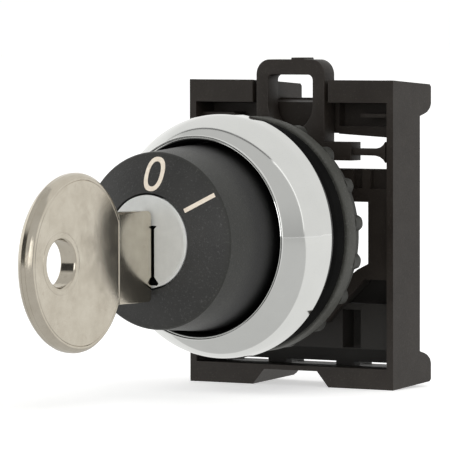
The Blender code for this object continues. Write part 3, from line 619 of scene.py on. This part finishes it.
def thread_mesh(seg=144, start=4.2, end=12.3, root=10.45, crest=11.0, pitch=1.5):
    """One start of screw thread that fades out at each end, with a plain neck in front."""
    bm = bmesh.new()
    stations = [1.1, 1.4] + [1.4 + (end - 1.4) * i / 110 for i in range(1, 111)]

    def radius(y, a):
        phase = ((y - start) / pitch - a / TAU) % 1.0
        if phase < 0.12:
            h = 0.0
        elif phase < 0.42:
            h = (phase - 0.12) / 0.30
        elif phase < 0.62:
            h = 1.0
        elif phase < 0.92:
            h = 1.0 - (phase - 0.62) / 0.30
        else:
            h = 0.0
        h = h * h * (3 - 2 * h)
        fade = max(0.0, min(1.0, (y - start + 0.2) / 0.5, (end - 0.15 - y) / 0.5))
        return root + (crest - root) * h * fade

    rings = []
    for y in stations:
        rings.append([bm.verts.new((radius(y, TAU * k / seg) * math.cos(TAU * k / seg), y,
                                    radius(y, TAU * k / seg) * math.sin(TAU * k / seg))) for k in range(seg)])
    for r, y in ((10.3, end + 0.1), (8.05, end + 0.1), (8.05, end - 1.0), (8.5, end - 1.2), (8.5, 1.1)):
        rings.append([bm.verts.new((r * math.cos(TAU * k / seg), y, r * math.sin(TAU * k / seg))) for k in range(seg)])
    for i, low in enumerate(rings):
        high = rings[(i + 1) % len(rings)]
        for k in range(seg):
            m = (k + 1) % seg
            bm.faces.new((low[k], low[m], high[m], high[k]))
    return bm


piece(thread_mesh(), "body_thread", BODY, "base", sharp=60)
tail_profile = soften([(6.9, 11.5, 0.02), (8.0, 11.5, 0.02), (8.0, 17.0, 0.2), (0.0, 17.0, 0), (0.0, 15.6, 0), (6.9, 15.6, 0.1)], 0, 4)
tail = loose(lathe(tail_profile, 128), "tail")
carve(tail, [("UNION", box(-3.0, 3.0, 16.9, 18.0, 6.5, 9.9)), ("UNION", box(-3.0, 3.0, 16.9, 18.0, -9.9, -6.5))]
      + [("DIFFERENCE", lathe([(0, 15.0), (1.1, 15.0), (1.1, 17.6), (0, 17.6)], 48, "Y", (sx * 5.2, 0))) for sx in (1, -1)])
bevel(tail, 0.12, 2, 40)
piece(tail, "body_tail", BODY, "base", sharp=35)
nose = bevel(loose(box(-1.5, 1.5, 1.0, 3.9, 10.2, 12.0), "nose"), 0.2, 3)
piece(nose, "body_panel_nose", BODY, "base", sharp=35)

# ---------------------------------------------------------------- gasket and ring nut
gasket_profile = [(11.35, 1.4, 0.05), (14.30, 1.4, 0.18), (14.45, 2.1, 0.3), (14.45, 3.3, 0.3), (14.30, 4.0, 0.18), (12.7, 4.0, 0.05), (12.6, 3.9, 0.05),
                  (12.3, 3.9, 0.05), (12.2, 4.0, 0.05), (11.35, 4.0, 0.05)]
gasket = loose(lathe(soften(gasket_profile, 0.1, 4), 224), "gasket")
carve(gasket, [("DIFFERENCE", box(-1.8, 1.8, 0.0, 6.0, 10.0, 12.4))])
piece(gasket, "gasket_moulded", RUBBER, "base", ["panel_gasket"], sharp=35)


def nut_wave(a):
    """Height of the grip lugs round the nut, from 0 to 1."""
    step = 360.0 / 18
    off = (math.degrees(a) - 6.7 + step / 2) % step - step / 2
    width = 3.7
    t = max(0.0, 1.0 - (abs(off) / width) ** 2.6)
    return t ** 0.6


# a plain band in front, and the lugs standing on a smaller ring behind it
NUT_R, BACK_R, LUG = 14.6, 13.85, 0.72
nut_profile = [(11.35, 4.45, 0), (11.5, 4.3, 0), (14.36, 4.3, 0), (14.49, 4.34, 0), (14.56, 4.44, 0), (NUT_R, 4.60, 0), (NUT_R, 6.05, 0),
               (NUT_R - 0.04, 6.19, 0), (NUT_R - 0.14, 6.28, 0), (NUT_R - 0.3, 6.3, 0), (BACK_R, 6.34, 0), (BACK_R, 6.42, LUG),
               (BACK_R, 7.70, LUG), (BACK_R - 0.03, 7.98, LUG - 0.03), (BACK_R - 0.12, 8.18, LUG - 0.12), (BACK_R - 0.34, 8.3, LUG - 0.3),
               (12.2, 8.3, 0), (12.05, 8.2, 0), (11.5, 8.2, 0), (11.35, 8.05, 0)]
piece(lathe(nut_profile, 432, wave=nut_wave), "nut_gripped", NUT, "nut", ["ring_nut"], sharp=38)

# ---------------------------------------------------------------- release latch and its leaf springs
lx, top = 5.05, 21.56
latch_outline = ([(-4.7, 8.6), (4.7, 8.6), (4.7, 9.0), (8.92, 9.0), (8.92, 11.3), (lx, 11.3)] + arc(lx - 1.9, top - 1.9, 1.9, 0, 90, 16)
                 + [(2.05, top), (1.95, top + 0.24), (0.2, top + 0.24), (0.1, top)] + arc(-lx + 1.9, top - 1.9, 1.9, 90, 180, 16)
                 + [(-lx, 11.3), (-8.92, 11.3), (-8.92, 9.0), (-4.7, 9.0)])
loop_outline = (arc(2.6, 19.65 - 0.7, 0.7, 0, 90, 8) + arc(-2.6, 19.65 - 0.7, 0.7, 90, 180, 8) + arc(0, 15.9, 3.3, 180, 360, 40))
latch = plate([latch_outline, loop_outline], "XZ", 14.03, 16.5, 0.11, "latch")
piece(latch, "latch_finger_loop", FRAME, "latch", ["release_latch"], sharp=30)
for side, sx in (("right", 1), ("left", -1)):
    leaf = [(9.22, 9.68), (10.2, 9.68), (11.4, 9.68), (12.4, 9.66), (13.1, 9.5), (13.55, 9.2), (13.85, 8.8), (13.85, 11.4), (13.55, 11.0),
            (13.1, 10.7), (12.4, 10.54), (11.4, 10.52), (10.2, 10.52), (9.22, 10.52)]
    leaf = [(sx * x, z) for x, z in leaf]
    spring = plate([leaf], "XZ", 14.13, 16.4, 0.08, "leaf_" + side)
    piece(spring, "latch_leaf_spring_" + side, FRAME, None, ["latch_spring_" + side], sharp=30)
    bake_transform(spring)

# ---------------------------------------------------------------- return springs of the plungers
coils, front, rear, coil_r, wire_r = 5.5, 11.0, 15.25, 1.23, 0.13
for side, sx in (("right", 1), ("left", -1)):
    rows, steps = [], 132
    for i in range(steps + 1):
        t = i / steps
        turn = math.tau * coils * t
        y = front + (rear - front) * (t - 0.06 * math.sin(math.tau * t))
        row = []
        for k in range(8):
            a = math.tau * k / 8
            r = coil_r + wire_r * math.cos(a)
            row.append((sx * 5.2 + r * math.cos(turn), y + wire_r * math.sin(a), r * math.sin(turn)))
        rows.append(row)
    coil = piece(loft(rows), "plunger_coil_" + side, STEEL, "base", ["plunger_spring_" + side], sharp=60)
    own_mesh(coil)

# ---------------------------------------------------------------- carried-over nodes: better materials and broken edges
def refine(node, mat, width_mm=0.0, segments=2):
    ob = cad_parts[node]
    ob.data.materials.clear()
    ob.data.materials.append(mat)
    if width_mm:
        weld = ob.modifiers.new("weld", "WELD")
        weld.merge_threshold = 1e-6
        flat = ob.modifiers.new("flat", "DECIMATE")
        flat.decimate_type = "DISSOLVE"
        flat.angle_limit = math.radians(0.5)
        edge = ob.modifiers.new("edge", "BEVEL")
        edge.width = width_mm * MM
        edge.segments = segments
        edge.limit_method = "ANGLE"
        edge.angle_limit = math.radians(28)
        edge.harden_normals = False


refine("adapter_frame", FRAME, 0.10, 2)
refine("lock_housing", ZINC)
refine("plug_clip", STEEL)
refine("cam_rotor", ACETAL)
for side in ("right", "left"):
    refine("plunger_" + side, ACETAL)
for n in range(1, 6):
    refine("wafer_%d" % n, BRASS)
    refine("wafer_spring_%d" % n, STEEL)

# ---------------------------------------------------------------- floor
floor_bm = bmesh.new()
reach, cells = 4.0, 8
grid = [[floor_bm.verts.new(((-reach + 2 * reach * i / cells) / MM, (-reach + 2 * reach * j / cells) / MM, -19.43)) for i in range(cells + 1)]
        for j in range(cells + 1)]
for j in range(cells):
    for i in range(cells):
        floor_bm.faces.new((grid[j][i], grid[j][i + 1], grid[j + 1][i + 1], grid[j + 1][i]))
floor = loose(floor_bm, "floor")
mat, tree, bsdf, coord = new_material("floor_pale", (0.80, 0.80, 0.80), 0.0, 0.9, 0.0)
paper = noise(tree, coord, 40.0, 2.0, 0.5)
tree.links.new(ramp(tree, paper, [(0.0, 0.79), (1.0, 0.81)]), bsdf.inputs["Base Color"])
bsdf.inputs["Emission Color"].default_value = (1.0, 1.0, 1.0, 1.0)
split = tree.nodes.new("ShaderNodeSeparateXYZ")
tree.links.new(coord, split.inputs["Vector"])
reach_node = tree.nodes.new("ShaderNodeMapRange")
reach_node.inputs["From Min"].default_value = -0.12
reach_node.inputs["From Max"].default_value = 0.0
reach_node.inputs["To Min"].default_value = 0.22
reach_node.inputs["To Max"].default_value = 0.52
tree.links.new(split.outputs["Y"], reach_node.inputs["Value"])
tree.links.new(reach_node.outputs["Result"], bsdf.inputs["Emission Strength"])
floor.data.materials.append(mat)

# ---------------------------------------------------------------- studio light
world = bpy.data.worlds.new("studio")
bpy.context.scene.world = world
world.use_nodes = True
wt = world.node_tree
wt.nodes.clear()
out = wt.nodes.new("ShaderNodeOutputWorld")
bg = wt.nodes.new("ShaderNodeBackground")
wt.links.new(bg.outputs["Background"], out.inputs["Surface"])
wc = wt.nodes.new("ShaderNodeTexCoord")
ws = wt.nodes.new("ShaderNodeSeparateXYZ")
wt.links.new(wc.outputs["Generated"], ws.inputs["Vector"])


def wmath(op, a, b):
    node = wt.nodes.new("ShaderNodeMath")
    node.operation = op
    for sock, value in zip(node.inputs, (a, b)):
        if isinstance(value, bpy.types.NodeSocket):
            wt.links.new(value, sock)
        else:
            sock.default_value = value
    return node.outputs[0]


def wrange(value, lo, hi, to_lo, to_hi):
    node = wt.nodes.new("ShaderNodeMapRange")
    node.inputs["From Min"].default_value = lo
    node.inputs["From Max"].default_value = hi
    for key, v in (("To Min", to_lo), ("To Max", to_hi)):
        if isinstance(v, bpy.types.NodeSocket):
            wt.links.new(v, node.inputs[key])
        else:
            node.inputs[key].default_value = v
    wt.links.new(value, node.inputs["Value"])
    return node.outputs["Result"]


# a white wall behind the object, a greyer room in front of it, and a thin seam where they meet
edge_y = wmath("MULTIPLY", wmath("POWER", wmath("SUBTRACT", 1.0, ws.outputs["X"]), 2.6), 0.10)
beyond = wmath("SUBTRACT", ws.outputs["Y"], edge_y)
low = wrange(ws.outputs["Z"], 0.0, 0.5, 0.51, 0.64)
left = wmath("MULTIPLY", wrange(ws.outputs["X"], -0.1, -0.40, 0.0, 0.60), wrange(ws.outputs["Z"], 0.45, 0.66, 1.0, 0.0))
room = wmath("ADD", low, left)
level_with = wrange(wmath("ABSOLUTE", ws.outputs["Z"], 0.0), 0.3, 0.5, 1.0, 0.0)
backdrop = wmath("ADD", 0.90, wmath("MULTIPLY", wrange(ws.outputs["X"], -0.45, -0.25, 0.12, 0.0), level_with))
wall = wrange(beyond, -0.004, 0.004, room, backdrop)
seam = wmath("MULTIPLY", wrange(beyond, -0.022, -0.016, 0.0, 1.0), wrange(beyond, -0.003, 0.003, 1.0, 0.0))
seam = wmath("MULTIPLY", seam, wrange(ws.outputs["Z"], 0.02, 0.12, 0.0, 1.0))
seam_gain = wrange(ws.outputs["X"], 0.38, 0.46, -0.45, 0.75)
level = wmath("ADD", wall, wmath("MULTIPLY", seam, seam_gain))
# a dark doorway off to the left front, which draws the dark streaks down polished rims
door = wmath("MULTIPLY", wrange(ws.outputs["X"], -0.78, -0.70, 0.0, 1.0), wrange(ws.outputs["X"], -0.44, -0.36, 1.0, 0.0))
door = wmath("MULTIPLY", door, wrange(ws.outputs["Y"], -0.45, -0.40, 1.0, 0.0))
door = wmath("MULTIPLY", door, wrange(wmath("ABSOLUTE", ws.outputs["Z"], 0.0), 0.46, 0.62, 0.97, 0.0))
level = wmath("MULTIPLY", level, wmath("SUBTRACT", 1.0, door))
wt.links.new(level, bg.inputs["Strength"])
bg.inputs["Color"].default_value = (1.0, 1.0, 0.985, 1.0)


def softbox(name, place, aim, size, radiance):
    light = bpy.data.lights.new(name, "AREA")
    light.shape = "RECTANGLE"
    light.size, light.size_y = size
    light.energy = radiance * math.pi * size[0] * size[1]
    ob = bpy.data.objects.new(name, light)
    bpy.context.scene.collection.objects.link(ob)
    ob.location = place
    ob.rotation_euler = (Vector(aim) - Vector(place)).to_track_quat("-Z", "Y").to_euler()
    return ob


left_light = softbox("softbox_left_front", (-0.42, -0.62, 0.02), (0, -0.01, 0), (0.5, 0.5), 0.55)
left_light.visible_glossy = False
softbox("softbox_front_right", (0.52, -0.82, 0.20), (0, -0.01, 0), (0.42, 0.42), 1.7)
softbox("softbox_front", (0.13, -0.88, 0.05), (0, -0.01, 0), (0.26, 0.26), 2.2)
key_light = softbox("softbox_right_top", (0.45, -0.42, 0.62), (0, 0.0, 0), (0.5, 0.5), 1.6)
key_light.visible_glossy = False
# cards on the floor, grey in front and white behind, seen only as reflections
for name, y0, y1, stops in (("card_front", -1600.0, -0.5, [(40.0, 0.58), (320.0, 0.51)]), ("card_back", -0.5, 1600.0, [(40.0, 0.86), (320.0, 0.89)])):
    card_bm = bmesh.new()
    card_bm.faces.new([card_bm.verts.new(p) for p in ((-1600, y0, -19.3), (1600, y0, -19.3), (1600, y1, -19.3), (-1600, y1, -19.3))])
    card = loose(card_bm, name)
    mat, tree, bsdf, coord = new_material(name, (0.1, 0.1, 0.1), 0.0, 0.9, 0.0)
    bsdf.inputs["Emission Color"].default_value = (1.0, 1.0, 0.985, 1.0)
    tree.links.new(along(tree, coord, "X", stops), bsdf.inputs["Emission Strength"])
    card.data.materials.append(mat)
    card.visible_camera = False
    card.visible_diffuse = False
    card.visible_shadow = False
    card.visible_transmission = False

# ---------------------------------------------------------------- camera
az, el, roll, distance = math.radians(33.297), math.radians(2.514), math.radians(-0.102), 0.58
back = Vector((math.sin(az) * math.cos(el), -math.cos(az) * math.cos(el), math.sin(el)))
right = Vector((math.cos(az), math.sin(az), 0.0))
up = back.cross(right)
r2 = right * math.cos(roll) + up * math.sin(roll)
u2 = up * math.cos(roll) - right * math.sin(roll)
camera_data = bpy.data.cameras.new("camera")
camera_data.lens = 377.2
camera_data.sensor_width = 36.0
camera_data.shift_x = -0.00111
camera_data.shift_y = 0.00111
camera_data.clip_start, camera_data.clip_end = 0.01, 20.0
camera = bpy.data.objects.new("camera", camera_data)
bpy.context.scene.collection.objects.link(camera)
place = Vector((0.31773, -0.48450, 0.02670))
camera.matrix_world = Matrix((
    (r2.x, u2.x, back.x, place.x),
    (r2.y, u2.y, back.y, place.y),
    (r2.z, u2.z, back.z, place.z),
    (0, 0, 0, 1)))
bpy.context.scene.camera = camera
bpy.context.scene.view_settings.view_transform = "Standard"
bpy.context.scene.view_settings.look = "None"
